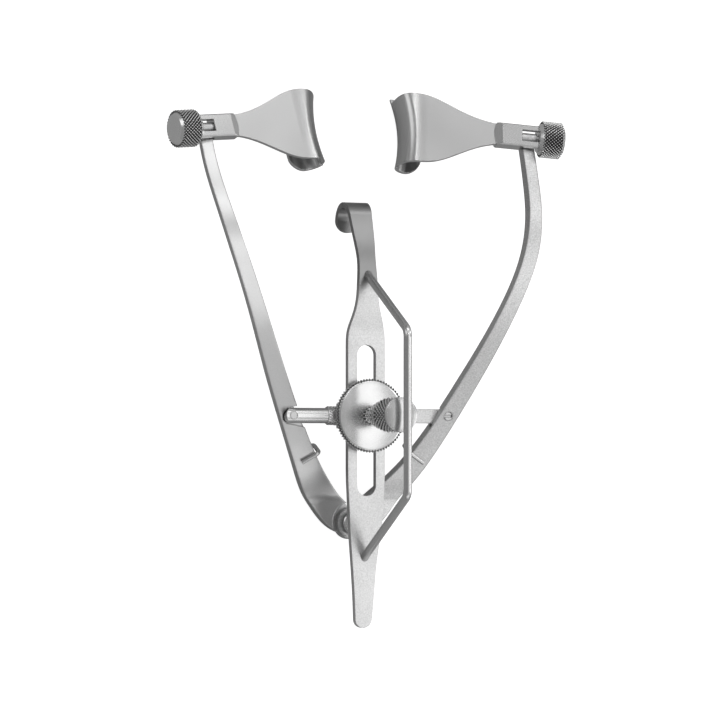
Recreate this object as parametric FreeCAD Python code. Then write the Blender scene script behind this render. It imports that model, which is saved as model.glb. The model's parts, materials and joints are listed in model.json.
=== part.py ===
import FreeCAD, Part
import os
from math import atan2, cos, hypot, radians, sin
from FreeCAD import Matrix, Placement, Vector

# Adjustable eye speculum with swivelling solid blades and a sliding canthus hook, in millimetres.
# +Y runs from the pivot to the blades, +Z from the table to the knobs, the origin is on the pivot axis.
# Heights are first measured from the front face of the pivot lap. The whole instrument is then lifted,
# so that it rests on z = 0 on the cap nut of the pivot and on the lips of both blades.

# Fits
RUNNING_FIT = 0.03
FACE_GAP = 0.05
SLOT_FIT = 0.09

# Arms: stations along Y give the middle line in plan and the width there
ARM_STATIONS = [
    (5.1, 5.95, 5.3),
    (8.2, 8.35, 4.4),
    (12.7, 11.1, 3.65),
    (21.8, 15.8, 3.1),
    (33.8, 21.2, 2.5),
    (41.3, 24.0, 2.3),
]
ARM_HEEL_OUTER = [(-1.4, 2.3), (0.25, 4.85), (3.3, 7.25)]
ARM_CROTCH = (2.3, 0.0)
ARM_TIP_X = 26.6
ARM_TIP_WIDTH = 1.86
# Stations near the tip: Y, distance inward of the tip and width
ARM_TIP_STATIONS = [
    (49.0, 0.8, 2.0),
    (55.2, 0.1, 1.9),
]
# Stations of the front face from the side: Y and height
ARM_ARCH = [
    (5.1, 0.9),
    (8.2, 3.0),
    (12.7, 5.3),
    (21.8, 9.1),
    (33.8, 13.2),
    (38.5, 13.85),
    (45.1, 12.9),
    (49.0, 11.3),
    (55.2, 8.1),
    (59.6, 6.2),
]
ARM_FLAT_END = 3.0
ARM_THICK = 2.1
ARM_TIP_THICK = 1.6
ARM_BACK_ROUND = 0.75

# Pivot
LAP_DISC_R = 2.5
LAP_RECESS_R = 3.3
LAP_GAP = 0.03
PIVOT_R = 1.0
PIVOT_HEAD_R = 1.8
PIVOT_HEAD_H = 0.7
PIVOT_NUT_R = 2.2
PIVOT_NUT_FLATS = 3.8
SCREW_SLOT_W = 0.35
SCREW_SLOT_D = 0.3

# Blade and its block, in a frame of their own: x outward along the stud, y up the block, z out of its front
STUD_Y = 59.65
STUD_Z = 6.45
STUD_RISE = 10.5
STUD_FALL = 4.8
BLADE_ROLL = 17.5
STUD_R = 0.4
EYE_R = 0.75
EYE_IN = 1.0
EYE_OUT = 1.4
BLOCK_OUT = 1.55
BLOCK_LENGTH = 7.0
BLOCK_HEIGHT = 3.6
BLOCK_DEPTH = 2.1
BLOCK_END_R = 4.0
BLOCK_EDGE = 0.2
BLOCK_BEVEL = 1.3
SLOT_END = -1.05
SLOT_HEIGHT = 1.9
TINE_BACK = 0.3
STUD_DEPTH = 2.2
BLADE_THICK = 0.6
BLADE_FRONT = 0.5
# Paddle outline: distance inward from the block, with the edge above and below the stud axis there
PADDLE_OUTLINE = [
    (0.0, 1.75, -1.75),
    (3.4, 2.5, -2.85),
    (7.0, 3.95, -4.6),
    (9.7, 5.05, -5.55),
    (12.2, 5.45, -5.8),
]
PADDLE_CORNER = (15.0, 4.9, -6.05)
FOLD_REACH = 14.7
FOLD_R = 2.55
FOLD_EDGE_R = 20.0
FOLD_EDGE_Y = -2.2
LIP_LENGTH = 4.25
LIP_TOP = 5.0
LIP_BOTTOM = -6.2
LIP_CORNER_R = 2.8

# Knobs at the outer ends of the studs
SIDE_KNOB_R = 2.85
SIDE_KNOB_LENGTH = 4.0
SIDE_KNOB_NECK = 0.65
SIDE_KNOB_NECK_R = 2.05
SIDE_KNOB_RIM = 0.4
STUD_IN_KNOB = 2.0

# Crossbar
CROSS_Y = 16.4
CROSS_PIN_X = 13.0
ROD_R = 1.17
ROD_Z = 7.0
ROD_SINK = 0.05
POCKET_R = 1.3
POCKET_FLARE = 10.0
COLLAR_R = 1.5
COLLAR_X = -7.35
COLLAR_LENGTH = 1.3
ROD_PIN_R = 0.62
ROD_TENON_R = 0.7
SLIDE_HEIGHT = 2.2
SLIDE_THICK = 0.7
SLIDE_Z = 5.3
SLIDE_LEFT_X = -5.4
SLIDE_END_R = 1.1
MORTISE_R = 1.2
SLIDE_SCREW_R = 0.68

# Housing behind the hook bar
HOOK_X = -0.89
HOUSING_LEFT = 4.1
HOUSING_RIGHT = 4.2
HOUSING_SHOULDER = 3.6
HOUSING_HEIGHT = 3.8
LUG_HEIGHT = 2.9
HOUSING_FLOOR = 0.7
HOUSING_ROOF = 0.8
LUG_RISE = 1.7
CHANNEL_FIT = 0.05

# Hook bar: outline stations along Y with the full width, and side stations of its front face
BAR_THICK = 1.0
BAR_WIDTH = 6.06
BAR_OUTLINE = [
    (-14.6, 2.7),
    (-11.6, 3.1),
    (-5.6, 4.05),
    (-1.0, 5.1),
    (3.5, 5.7),
]
BAR_STRAIGHT = (8.5, 27.4)
BAR_WAIST = [
    (29.6, 5.65),
    (32.3, 4.1),
    (34.2, 3.35),
    (36.9, 3.0),
    (40.1, 2.7),
    (43.2, 3.1),
    (47.0, 3.55),
    (49.5, 3.9),
]
BAR_TAIL_Y = -15.9
BAR_SIDE = [
    (-17.0, -1.35),
    (-11.6, -0.92),
    (-5.6, -0.7),
    (-1.0, -0.22),
]
BAR_FLAT = (4.2, 28.6)
BAR_SHOULDER = [
    (31.2, 0.45),
    (34.0, 0.75),
    (37.0, 0.8),
    (40.1, 0.45),
]
BAR_SLOT_W = 3.08
BAR_SLOT = (4.2, 27.2)
HOOK_R = 3.0
HOOK_CENTRE = (46.2, 2.6)
HOOK_THICK = 0.9
HOOK_START = 20.0
HOOK_LIP_W = 3.9
HOOK_LIP_END = 44.65
HOOK_LIP_CORNER = 1.85

# Guard bow, bent wire in the middle plane of the hook bar
WIRE_R = 0.64
BOW_FOOT_TOP = 38.0
BOW_BEND_TOP = 29.0
BOW_BEND_LOW = 4.4
BOW_FOOT_LOW = -5.3
BOW_STAND = 16.0
BOW_BEND_R = 1.8

# Clamp in the middle: post, washer, wheel, screw and knob
POST_R = BAR_SLOT_W / 2 - SLOT_FIT
POST_BORE_R = 0.75
POST_RISE = 1.7
CLAMP_SCREW_R = 0.7
CLAMP_SCREW_IN_KNOB = 2.0
WASHER_R = 2.9
WASHER_THICK = 0.3
WHEEL_R = 5.66
WHEEL_RIM = 1.1
WHEEL_BACK = 1.1
WHEEL_HUB_R = 2.6
WHEEL_EDGE = 0.22
WHEEL_CROWN = 0.25
WHEEL_EYE_FIT = 0.1
KNOB_NECK_R = 1.15
KNOB_R = 2.65
KNOB_FLARE = 6.3
KNOB_BARREL = 5.1
KNOB_EDGE = 0.25
KNOB_NECK_IN = 0.35

# Suture clips: wire bent square round the inner edge of each arm
CLIP_WIRE_R = 0.33
CLIP_Y = 10.7
CLIP_TURN = 34.0
CLIP_BEND_R = 0.55
CLIP_STAND = 0.5
CLIP_FRONT_LEG = 2.6
CLIP_BACK_LEG = 0.9

TALL = 60.0


def spline(points, start_tangent=None, end_tangent=None):
    curve = Part.BSplineCurve()
    if start_tangent is None:
        curve.interpolate(points)
    else:
        curve.interpolate(points, InitialTangent=start_tangent, FinalTangent=end_tangent)
    return curve


def polyline(points):
    return [Part.makeLine(a, b) for a, b in zip(points, points[1:])]


def face(edges):
    return Part.Face(Part.Wire(Part.__sortEdges__(edges)))


def cylinder(r, start, end):
    axis = end - start
    return Part.makeCylinder(r, axis.Length, start, axis)


def box(low, high):
    return Part.makeBox(high[0] - low[0], high[1] - low[1], high[2] - low[2], Vector(*low))


def mirrored(shape):
    return shape.mirror(Vector(0, 0, 0), Vector(1, 0, 0))


def single(shape):
    return shape.removeSplitter().Solids[0]


def revolve_profile(points, axis_point, axis):
    wire = Part.makePolygon(points + [points[0]])
    return Part.Face(wire).revolve(axis_point, axis, 360)


def bent_wire(corners, bend_r, wire_r):
    """Round wire through the corners, each rounded to the bend radius of its middle line."""
    edges = []
    start = corners[0]
    for before, corner, after in zip(corners, corners[1:], corners[2:]):
        a = (before - corner).normalize()
        b = (after - corner).normalize()
        back_off = bend_r * (a + b).Length / (a - b).Length
        first = corner + a * back_off
        second = corner + b * back_off
        bisector = (a + b).normalize()
        centre = corner + bisector * hypot(bend_r, back_off)
        edges += [Part.makeLine(start, first), Part.Arc(first, centre - bisector * bend_r, second).toShape()]
        start = second
    edges.append(Part.makeLine(start, corners[-1]))
    ring = Part.Wire([Part.makeCircle(wire_r, corners[0], corners[1] - corners[0])])
    return Part.Wire(edges).makePipeShell([ring], True, True).Solids[0]


# Arms

def arm_stations():
    return ARM_STATIONS + [(y, ARM_TIP_X - inward, width) for y, inward, width in ARM_TIP_STATIONS]


def arm_front(y):
    """Height of the arm's front face at y, on straight lines between the stations."""
    stations = [(ARM_FLAT_END, 0.0)] + ARM_ARCH
    for (y0, z0), (y1, z1) in zip(stations, stations[1:]):
        if y <= y1:
            return z0 + (z1 - z0) * (y - y0) / (y1 - y0)
    return stations[-1][1]


def arm_edge(y, side):
    """Distance of the arm's inner (-1) or outer (+1) edge from the middle at y."""
    stations = arm_stations()
    for (y0, x0, w0), (y1, x1, w1) in zip(stations, stations[1:]):
        if y <= y1:
            share = (y - y0) / (y1 - y0)
            return x0 + (x1 - x0) * share + side * 0.5 * (w0 + (w1 - w0) * share)
    return ARM_TIP_X + side * ARM_TIP_WIDTH / 2


def arm_plan():
    tip = STUD_Y + ARM_TIP_THICK
    stations = arm_stations() + [(tip, ARM_TIP_X, ARM_TIP_WIDTH)]
    outer = [Vector(x, y, -TALL / 2) for y, x in ARM_HEEL_OUTER]
    outer += [Vector(x + w / 2, y, -TALL / 2) for y, x, w in stations]
    crotch = Vector(ARM_CROTCH[1], ARM_CROTCH[0], -TALL / 2)
    inner = [crotch] + [Vector(x - w / 2, y, -TALL / 2) for y, x, w in stations]
    centre = Vector(0, 0, -TALL / 2)
    edges = [spline(outer).toShape(), spline(inner).toShape()]
    edges += polyline([outer[-1], inner[-1]])
    edges += polyline([crotch, centre, outer[0]])
    return face(edges).extrude(Vector(0, 0, TALL))


def arm_side():
    tip_run = ARM_ARCH[-1][0] - ARM_ARCH[-2][0]
    tip_fall = ARM_ARCH[-1][1] - ARM_ARCH[-2][1]
    past_tip = (ARM_ARCH[-1][0] + 2 * ARM_TIP_THICK, ARM_ARCH[-1][1] + 2 * ARM_TIP_THICK * tip_fall / tip_run)
    stations = [(ARM_FLAT_END, 0.0)] + ARM_ARCH + [past_tip]
    front = [Vector(0, y, z) for y, z in stations]
    level = Vector(0, 1, 0)
    front_curve = spline(front, level, front[-1] - front[-2])
    back = [Vector(0, ARM_FLAT_END, -ARM_THICK)]
    for point in front[1:]:
        tangent = front_curve.tangent(front_curve.parameter(point))[0]
        thick = ARM_THICK + (ARM_TIP_THICK - ARM_THICK) * point.y / ARM_ARCH[-1][0]
        back.append(point + Vector(0, tangent.z, -tangent.y) * thick)
    heel = -2 * LAP_DISC_R
    edges = [front_curve.toShape(), spline(back, level, back[-1] - back[-2]).toShape()]
    edges += polyline([front[0], Vector(0, heel, 0), Vector(0, heel, -ARM_THICK), back[0]])
    edges += polyline([front[-1], back[-1]])
    profile = face(edges)
    return profile.extrude(Vector(TALL, 0, 0))


def arm_blank():
    """Right arm before its lap, tip and pocket are cut, rounded along its outer back edge."""
    blank = arm_plan().common(arm_side())
    return blank.makeFillet(ARM_BACK_ROUND, [back_edge(blank)])


def back_edge(blank):
    """The long edge between the back and the outer side."""
    y = ARM_STATIONS[3][0]
    probe = Part.Vertex(Vector(arm_edge(y, 1), y, arm_front(y) - ARM_THICK))
    long_edges = [e for e in blank.Edges if e.Length > TALL / 2]
    return min(long_edges, key=lambda edge: edge.distToShape(probe)[0])


def stud_frame():
    """Placement of the right blade's frame: x along the stud, y up the block, z out of its front."""
    rise, fall, roll = radians(STUD_RISE), radians(STUD_FALL), radians(BLADE_ROLL)
    x = Vector(cos(rise) * cos(fall), -cos(rise) * sin(fall), sin(rise))
    y = Vector(0, cos(roll), -sin(roll))
    y = y - x * y.dot(x)
    y.normalize()
    z = x.cross(y)
    matrix = Matrix(x.x, y.x, z.x, ARM_TIP_X, x.y, y.y, z.y, STUD_Y, x.z, y.z, z.z, STUD_Z, 0, 0, 0, 1)
    return Placement(matrix)


def placed(shape):
    shape.Placement = stud_frame().multiply(shape.Placement)
    return shape


def arm_with_eye(arm):
    """Rounds the tip behind the stud and adds the eye that the stud runs in."""
    half = ARM_TIP_WIDTH
    above = placed(box((-4 * half, 0, -3 * ARM_TIP_THICK), (4 * half, 6 * ARM_TIP_THICK, 3 * ARM_TIP_THICK)))
    round_r = ARM_TIP_THICK / 2
    round_centre = -round_r - 0.2
    knuckle = placed(cylinder(round_r, Vector(-half, 0, round_centre), Vector(half, 0, round_centre)))
    eye = placed(cylinder(EYE_R, Vector(-EYE_IN, 0, 0), Vector(EYE_OUT, 0, 0)))
    bore = placed(cylinder(STUD_R + RUNNING_FIT, Vector(-2 * half, 0, 0), Vector(2 * half, 0, 0)))
    arm = arm.cut(above).fuse(knuckle.common(arm)).fuse(eye)
    return arm.cut(bore)


def lapped(arm, upper):
    """Right-hand arm with its pivot disc: the upper or the lower half of the lap."""
    middle = -ARM_THICK / 2
    low, high = (middle + LAP_GAP / 2, 0.0) if upper else (-ARM_THICK, middle - LAP_GAP / 2)
    disc = cylinder(LAP_DISC_R, Vector(0, 0, low), Vector(0, 0, high))
    away = TALL / 2
    taken = (low, -away) if upper else (high, away)
    recess = cylinder(LAP_RECESS_R, Vector(0, 0, taken[0]), Vector(0, 0, taken[1]))
    hole_r = PIVOT_R + RUNNING_FIT if upper else PIVOT_R
    hole = cylinder(hole_r, Vector(0, 0, -away), Vector(0, 0, away))
    return arm.cut(recess).fuse(disc).cut(hole)


def left_arm():
    arm = lapped(arm_with_eye(arm_blank()), False)
    arm = mirrored(arm)
    floor = ROD_Z - ROD_R - ROD_SINK
    pin = Vector(-CROSS_PIN_X, CROSS_Y, 0)
    reach = ARM_THICK * 3
    spread = POCKET_R + reach * sin(radians(POCKET_FLARE))
    pocket = cylinder(POCKET_R, pin + Vector(0, 0, floor), pin + Vector(0, 0, floor + TALL))
    flare = Part.makePolygon([
        pin + Vector(0, -POCKET_R, floor),
        pin + Vector(reach, -spread, floor),
        pin + Vector(reach, spread, floor),
        pin + Vector(0, POCKET_R, floor),
        pin + Vector(0, -POCKET_R, floor),
    ])
    pocket = pocket.fuse(Part.Face(flare).extrude(Vector(0, 0, TALL)))
    hole = cylinder(ROD_PIN_R, pin - Vector(0, 0, TALL), pin + Vector(0, 0, TALL))
    return single(arm.cut(pocket).cut(hole))


def right_arm():
    arm = lapped(arm_with_eye(arm_blank()), True)
    pin = Vector(CROSS_PIN_X, CROSS_Y, 0)
    low = SLIDE_Z - SLIDE_THICK / 2 - CHANNEL_FIT
    high = SLIDE_Z + SLIDE_THICK / 2 + CHANNEL_FIT
    reach = ARM_THICK * 3
    spread = MORTISE_R + reach * sin(radians(POCKET_FLARE))
    mortise = cylinder(MORTISE_R, pin + Vector(0, 0, low), pin + Vector(0, 0, high))
    flare = Part.makePolygon([
        pin + Vector(0, -MORTISE_R, low),
        pin + Vector(-reach, -spread, low),
        pin + Vector(-reach, spread, low),
        pin + Vector(0, MORTISE_R, low),
        pin + Vector(0, -MORTISE_R, low),
    ])
    mortise = mortise.fuse(Part.Face(flare).extrude(Vector(0, 0, high - low)))
    hole = cylinder(SLIDE_SCREW_R, pin - Vector(0, 0, TALL), pin + Vector(0, 0, TALL))
    return single(arm.cut(mortise).cut(hole))


# Pivot

def slotted_screw(r, top, bottom, head_r, head_h):
    screw = cylinder(r, bottom, top)
    head = cylinder(head_r, top, top + Vector(0, 0, head_h))
    groove = box(
        (top.x - head_r * 2, top.y - SCREW_SLOT_W / 2, top.z + head_h - SCREW_SLOT_D),
        (top.x + head_r * 2, top.y + SCREW_SLOT_W / 2, top.z + head_h * 2),
    )
    return screw.fuse(head).cut(groove)


def pivot_screw(rest):
    thread_end = (rest - ARM_THICK) / 2
    screw = slotted_screw(
        PIVOT_R, Vector(0, 0, FACE_GAP), Vector(0, 0, thread_end), PIVOT_HEAD_R, PIVOT_HEAD_H
    )
    head_top = PIVOT_HEAD_H + FACE_GAP - 0.01
    rims = [e for e in screw.Edges if e.BoundBox.ZMin > head_top and e.BoundBox.XLength > PIVOT_R]
    arcs = [e for e in rims if isinstance(e.Curve, Part.Circle)]
    return single(screw.makeChamfer(PIVOT_HEAD_H / 4, arcs))


def pivot_nut(rest):
    nut = cylinder(PIVOT_NUT_R, Vector(0, 0, rest), Vector(0, 0, -ARM_THICK))
    flats = box(
        (-PIVOT_NUT_R * 2, -PIVOT_NUT_FLATS / 2, rest),
        (PIVOT_NUT_R * 2, PIVOT_NUT_FLATS / 2, -ARM_THICK),
    )
    thread = cylinder(PIVOT_R, Vector(0, 0, (rest - ARM_THICK) / 2), Vector(0, 0, 0))
    return single(nut.common(flats).cut(thread))


# Blades

def seam_x():
    return BLOCK_OUT - BLOCK_LENGTH


def blade_block():
    half = BLOCK_HEIGHT / 2
    deep = BLOCK_DEPTH / 2
    body = box((seam_x(), -half, -deep), (BLOCK_OUT, half, deep))
    body = body.makeChamfer(BLOCK_EDGE, [e for e in body.Edges if abs(e.tangentAt(0).x) > 0.9])
    end_centre = seam_x() + BLOCK_END_R
    length = BLOCK_LENGTH * 2
    rounded = cylinder(BLOCK_END_R, Vector(end_centre, 0, -deep), Vector(end_centre, 0, deep))
    rounded = rounded.fuse(box((end_centre, -half, -deep), (end_centre + length, half, deep)))
    slot = box((SLOT_END, -SLOT_HEIGHT / 2, -deep * 2), (BLOCK_OUT * 2, SLOT_HEIGHT / 2, deep * 2))
    relief = box((SLOT_END, -half * 2, -deep * 2), (BLOCK_OUT * 2, half * 2, TINE_BACK))
    thread = cylinder(STUD_R + RUNNING_FIT, Vector(SLOT_END - STUD_DEPTH, 0, 0), Vector(0, 0, 0))
    step = deep - BLADE_FRONT
    bevel = Part.makePolygon([
        Vector(seam_x() - 1, -half * 2, BLADE_FRONT - step / BLOCK_BEVEL),
        Vector(seam_x() + BLOCK_BEVEL * 2, -half * 2, BLADE_FRONT + step * 2),
        Vector(seam_x() - 1, -half * 2, BLADE_FRONT + step * 2),
        Vector(seam_x() - 1, -half * 2, BLADE_FRONT - step / BLOCK_BEVEL),
    ])
    bevel = Part.Face(bevel).extrude(Vector(0, half * 4, 0))
    return body.common(rounded).cut(slot).cut(relief).cut(bevel).cut(thread)


def fold_section():
    """J-shaped section of the blade: paddle, fold and lip."""
    y = FOLD_EDGE_Y
    front = BLADE_FRONT
    fold_x = seam_x() - FOLD_REACH
    centre = Vector(fold_x + FOLD_R, y, front - FOLD_R)
    root = seam_x() + BLOCK_LENGTH / 2
    lip_x = fold_x + LIP_LENGTH
    inner = FOLD_R - BLADE_THICK
    up = Vector(0, 0, 1)
    left = Vector(-1, 0, 0)
    lip_mid = centre.z - FOLD_R + BLADE_THICK / 2
    outer_arc = Part.Arc(centre + up * FOLD_R, centre + left * FOLD_R, centre - up * FOLD_R)
    inner_arc = Part.Arc(centre + up * inner, centre + left * inner, centre - up * inner)
    nose = Part.Arc(
        Vector(lip_x - BLADE_THICK / 2, y, lip_mid + BLADE_THICK / 2),
        Vector(lip_x, y, lip_mid),
        Vector(lip_x - BLADE_THICK / 2, y, lip_mid - BLADE_THICK / 2),
    )
    edges = [outer_arc.toShape(), inner_arc.toShape(), nose.toShape()]
    edges += polyline([
        centre + up * FOLD_R,
        Vector(root, y, front),
        Vector(root, y, front - BLADE_THICK),
        centre + up * inner,
    ])
    edges += polyline([centre - up * FOLD_R, Vector(lip_x - BLADE_THICK / 2, y, lip_mid - BLADE_THICK / 2)])
    edges += polyline([centre - up * inner, Vector(lip_x - BLADE_THICK / 2, y, lip_mid + BLADE_THICK / 2)])
    return face(edges)


def outline_prism(outline, low, high):
    """Prism over the paddle, from its upper and lower edge at each station."""
    upper = [Vector(x, top, low) for x, top, bottom in outline]
    lower = [Vector(x, bottom, low) for x, top, bottom in outline]
    edges = [spline(upper).toShape(), spline(lower).toShape()]
    edges += polyline([upper[0], lower[0]])
    edges += polyline([upper[-1], lower[-1]])
    return face(edges).extrude(Vector(0, 0, high - low))


def blade():
    fold_x = seam_x() - FOLD_REACH
    axis_x = fold_x - FOLD_EDGE_R
    sweep = 26.0
    section = fold_section()
    axis = Vector(axis_x, FOLD_EDGE_Y, 0)
    section.rotate(axis, Vector(0, 0, 1), -sweep)
    folded = section.revolve(axis, Vector(0, 0, 1), 2 * sweep)
    middle = BLADE_FRONT - FOLD_R
    root = (seam_x() + BLOCK_LENGTH / 2,) + PADDLE_OUTLINE[0][1:]
    paddle = [root] + [(seam_x() - run, top, bottom) for run, top, bottom in PADDLE_OUTLINE]
    run, top, bottom = PADDLE_CORNER
    paddle += [(seam_x() - run, top, bottom), (seam_x() - run - 1.2, top - 1.2, bottom - 0.1)]
    front = folded.common(outline_prism(paddle, middle, BLADE_FRONT + 1))
    lip = box((axis_x, LIP_BOTTOM, -2 * FOLD_R - 1), (fold_x + LIP_LENGTH, LIP_TOP, middle))
    corners = [e for e in lip.Edges if abs(e.tangentAt(0).z) > 0.9 and e.BoundBox.XMin > fold_x]
    lip = lip.makeFillet(LIP_CORNER_R, corners)
    back = folded.common(lip)
    whole = front.fuse(back)
    return whole.cut(blade_block_envelope())


def blade_block_envelope():
    half = BLOCK_HEIGHT / 2
    deep = BLOCK_DEPTH
    end_centre = seam_x() + BLOCK_END_R
    rounded = cylinder(BLOCK_END_R, Vector(end_centre, 0, -deep), Vector(end_centre, 0, deep))
    return rounded.fuse(box((end_centre, -half * 2, -deep), (BLOCK_LENGTH, half * 2, deep)))


def blade_screw():
    return cylinder(
        STUD_R,
        Vector(SLOT_END - STUD_DEPTH + FACE_GAP, 0, 0),
        Vector(BLOCK_OUT + FACE_GAP + STUD_IN_KNOB, 0, 0),
    )


def blade_knob():
    start = BLOCK_OUT + FACE_GAP
    end = start + SIDE_KNOB_LENGTH
    profile = [
        Vector(start, 0, 0),
        Vector(start, 0, SIDE_KNOB_NECK_R),
        Vector(start + SIDE_KNOB_NECK, 0, SIDE_KNOB_R),
        Vector(end - SIDE_KNOB_RIM, 0, SIDE_KNOB_R),
        Vector(end, 0, SIDE_KNOB_R - SIDE_KNOB_RIM),
        Vector(end, 0, 0),
    ]
    knob = revolve_profile(profile, Vector(0, 0, 0), Vector(1, 0, 0))
    return knob.cut(cylinder(STUD_R, Vector(0, 0, 0), Vector(start + STUD_IN_KNOB, 0, 0)))


# Crossbar

def crossbar_rod():
    pin = Vector(-CROSS_PIN_X, CROSS_Y, ROD_Z)
    lug = Vector(HOOK_X - HOUSING_LEFT, CROSS_Y, ROD_Z)
    rod = cylinder(ROD_R, pin - Vector(ROD_R, 0, 0), lug)
    end = cylinder(ROD_R, pin - Vector(0, 0, TALL), pin + Vector(0, 0, TALL))
    end = end.fuse(box((pin.x, pin.y - ROD_R, -TALL), (TALL, pin.y + ROD_R, TALL)))
    tenon = cylinder(ROD_TENON_R, lug, lug + Vector(lug_width(), 0, 0))
    hole = cylinder(ROD_PIN_R, pin - Vector(0, 0, TALL), pin + Vector(0, 0, TALL))
    return single(rod.common(end).fuse(tenon).cut(hole))


def lug_width():
    return HOUSING_LEFT - BAR_WIDTH / 2 - 3 * CHANNEL_FIT


def rod_collar():
    start = Vector(COLLAR_X, CROSS_Y, ROD_Z)
    end = start + Vector(COLLAR_LENGTH, 0, 0)
    ring = cylinder(COLLAR_R, start, end).cut(cylinder(ROD_R, start, end))
    clear = SLIDE_Z + SLIDE_THICK / 2 + FACE_GAP
    away = COLLAR_R * 2
    flat = box((start.x - 1, CROSS_Y - away, clear - away), (end.x + 1, CROSS_Y + away, clear))
    return single(ring.cut(flat))


def rod_pin():
    pin = Vector(-CROSS_PIN_X, CROSS_Y, 0)
    top = ROD_Z + ROD_R - 0.02
    return cylinder(ROD_PIN_R, pin + Vector(0, 0, arm_front(CROSS_Y) - ARM_THICK), pin + Vector(0, 0, top))


def slide_bar():
    low = SLIDE_Z - SLIDE_THICK / 2
    high = SLIDE_Z + SLIDE_THICK / 2
    pin = Vector(CROSS_PIN_X, CROSS_Y, 0)
    half = SLIDE_HEIGHT / 2
    bar = box((SLIDE_LEFT_X, CROSS_Y - half, low), (CROSS_PIN_X, CROSS_Y + half, high))
    bar = bar.fuse(cylinder(SLIDE_END_R, pin + Vector(0, 0, low), pin + Vector(0, 0, high)))
    hole = cylinder(SLIDE_SCREW_R + RUNNING_FIT, pin, pin + Vector(0, 0, TALL))
    return single(bar.cut(hole))


def slide_bar_screw():
    front = arm_front(CROSS_Y)
    top = Vector(CROSS_PIN_X, CROSS_Y, front - SCREW_SLOT_D)
    bottom = Vector(CROSS_PIN_X, CROSS_Y, front - ARM_THICK)
    return single(slotted_screw(SLIDE_SCREW_R, top, bottom, SLIDE_SCREW_R, SCREW_SLOT_D * 1.2))


def housing_roof():
    return SLIDE_Z + SLIDE_THICK / 2 + CHANNEL_FIT + HOUSING_ROOF


def crossbar_housing():
    left = HOOK_X - HOUSING_LEFT
    right = HOOK_X + HOUSING_RIGHT
    half = HOUSING_HEIGHT / 2
    floor = SLIDE_Z - SLIDE_THICK / 2 - CHANNEL_FIT
    roof = housing_roof()
    shoulder = HOOK_X - HOUSING_SHOULDER
    body = box((shoulder, CROSS_Y - half, floor - HOUSING_FLOOR), (right, CROSS_Y + half, roof))
    low = Vector(left, CROSS_Y - LUG_HEIGHT / 2, floor - HOUSING_FLOOR)
    high = Vector(left + lug_width(), CROSS_Y + LUG_HEIGHT / 2, roof + LUG_RISE)
    body = body.fuse(box(low, high))
    right_lug = HOOK_X + BAR_WIDTH / 2 + 3 * CHANNEL_FIT
    body = body.fuse(box((right_lug, CROSS_Y - half, roof), (right, CROSS_Y + half, roof + LUG_RISE)))
    channel = SLIDE_HEIGHT / 2 + CHANNEL_FIT
    ceiling = SLIDE_Z + SLIDE_THICK / 2 + CHANNEL_FIT
    body = body.cut(box((left - 1, CROSS_Y - channel, floor), (right + 1, CROSS_Y + channel, ceiling)))
    axis = Vector(HOOK_X, CROSS_Y, 0)
    body = body.cut(cylinder(POST_R, axis + Vector(0, 0, ceiling), axis + Vector(0, 0, TALL)))
    start = Vector(left, CROSS_Y, ROD_Z)
    return single(body.cut(cylinder(ROD_TENON_R, start, start + Vector(lug_width(), 0, 0))))


# Hook bar

def bar_front():
    return housing_roof() + FACE_GAP + BAR_THICK


def half_w(width):
    return width / 2


def bar_plan():
    """Outline of bar and hook strap, with the long slot."""
    low = -TALL / 2
    half = BAR_WIDTH / 2
    along = Vector(0, 1, 0)
    taper = [Vector(half_w(w), y, low) for y, w in BAR_OUTLINE]
    straight = [Vector(half, y, low) for y in BAR_STRAIGHT]
    waist = [Vector(half_w(w), y, low) for y, w in BAR_WAIST]
    edges = []
    for side in (1, -1):
        start, low_end, high_end = [
            [Vector(HOOK_X + side * p.x, p.y, p.z) for p in run] for run in (taper, straight, waist)
        ]
        edges.append(spline(start + low_end[:1], start[1] - start[0], along).toShape())
        edges += polyline(low_end)
        edges.append(spline(low_end[1:] + high_end, along, high_end[-1] - high_end[-2]).toShape())
    ends = [[Vector(HOOK_X + side * p.x, p.y, p.z) for side in (-1, 1)] for p in (taper[0], waist[-1])]
    edges.append(Part.Arc(ends[0][0], Vector(HOOK_X, BAR_TAIL_Y, low), ends[0][1]).toShape())
    edges += polyline(ends[1])
    plan = face(edges).extrude(Vector(0, 0, TALL))
    slot_r = BAR_SLOT_W / 2
    ends = [Vector(HOOK_X, BAR_SLOT[0] + slot_r, low), Vector(HOOK_X, BAR_SLOT[1] - slot_r, low)]
    slot = box((HOOK_X - slot_r, ends[0].y, low), (HOOK_X + slot_r, ends[1].y, -low))
    for end in ends:
        slot = slot.fuse(cylinder(slot_r, end, end + Vector(0, 0, TALL)))
    return plan.cut(slot)


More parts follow.
